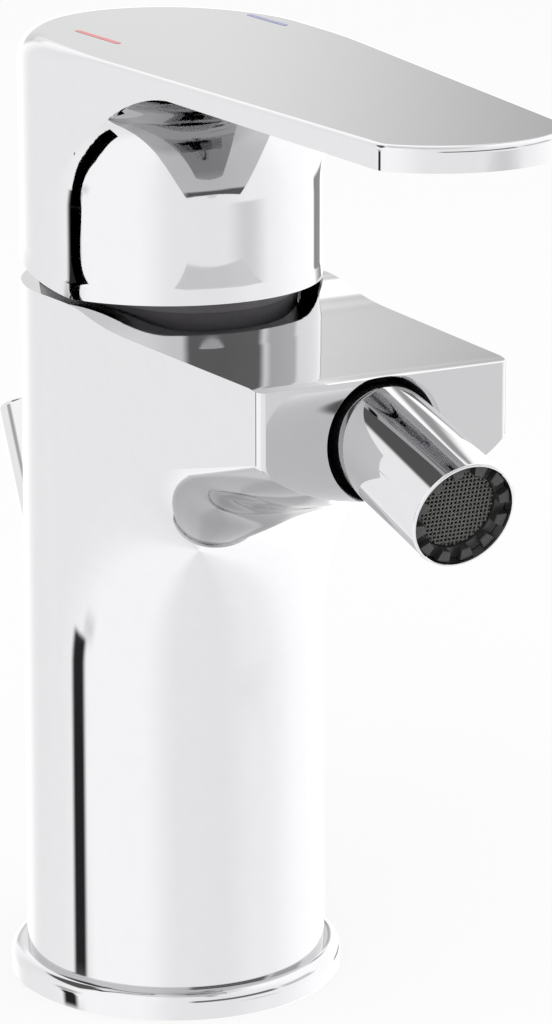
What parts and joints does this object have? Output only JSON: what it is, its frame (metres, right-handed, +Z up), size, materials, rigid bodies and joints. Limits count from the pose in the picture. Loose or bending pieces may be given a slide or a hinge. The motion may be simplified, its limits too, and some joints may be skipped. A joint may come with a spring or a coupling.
{
  "type": "bidet mixer",
  "caption": "Chrome single-lever bidet mixer with a short spout, swivelling aerator and pop-up waste rod behind.",
  "frame": {"origin": "centre of the flat underside, on the deck that the mixer stands on", "axes": "+Z up along the column, -Y forward along the spout, +X to the right seen from the user's side"},
  "size_m": [0.0498, 0.1439, 0.143],
  "materials": {
    "chrome": "polished",
    "rubber": "matte",
    "brass": "machined",
    "steel": "machined",
    "white_plastic": "moulded",
    "ceramic": "lapped ceramic",
    "black_plastic": "moulded"
  },
  "bodies": {
    "body": {"mixer_body": "chrome", "base_ring": "chrome", "base_gasket": "rubber", "port_seal_hot": "rubber", "port_seal_cold": "rubber", "port_seal_mixed": "rubber", "cartridge_base": "white_plastic", "fixed_disc": "ceramic", "cartridge_shell": "white_plastic", "cartridge_nut": "brass", "dome_cap": "chrome", "ball_nipple": "brass", "nipple_seal": "rubber", "rod_bush": "white_plastic"},
    "rotor": {"cartridge_rotor": "white_plastic", "rotor_ring": "rubber", "stem_pin": "steel"},
    "discs": {"moving_disc": "ceramic", "disc_carrier": "white_plastic"},
    "lever": {"lever_handle": "chrome", "cartridge_stem": "brass", "grub_screw": "steel", "screw_plug": "chrome"},
    "swing": {"ball_seat": "white_plastic"},
    "aerator": {"aerator_sleeve": "chrome", "seat_retainer": "brass", "aerator_gasket": "rubber", "aerator_insert": "black_plastic", "aerator_mesh": "steel"},
    "lift": {"lift_rod": "chrome", "lift_knob": "chrome"}
  },
  "joints": [
    {"name": "lever_turn", "type": "hinge", "parent": "body", "child": "rotor", "pos_m": [0, 0, 0.105], "axis": [0, 0, 1], "range_deg": [-45, 45]},
    {"name": "lever_lift", "type": "hinge", "parent": "rotor", "child": "lever", "pos_m": [0, 0, 0.105], "axis": [-1, 0, 0], "range_deg": [0, 15]},
    {"name": "disc_slide", "type": "slide", "parent": "rotor", "child": "discs", "axis": [0, -1, 0], "range_m": [0, 0.00478]},
    {"name": "aerator_swing", "type": "hinge", "parent": "body", "child": "swing", "pos_m": [0, -0.0608, 0.0953], "axis": [0, 0, 1], "range_deg": [-8, 8]},
    {"name": "aerator_tilt", "type": "hinge", "parent": "swing", "child": "aerator", "pos_m": [0, -0.0608, 0.0953], "axis": [-1, 0, 0], "range_deg": [-2, 28]},
    {"name": "rod_lift", "type": "slide", "parent": "body", "child": "lift", "axis": [0, 0.4384, 0.8988], "range_m": [0, 0.01]}
  ],
  "couplings": [
    {"joint": "disc_slide", "follows": "lever_lift", "m_per_rad": 0.01819}
  ]
}
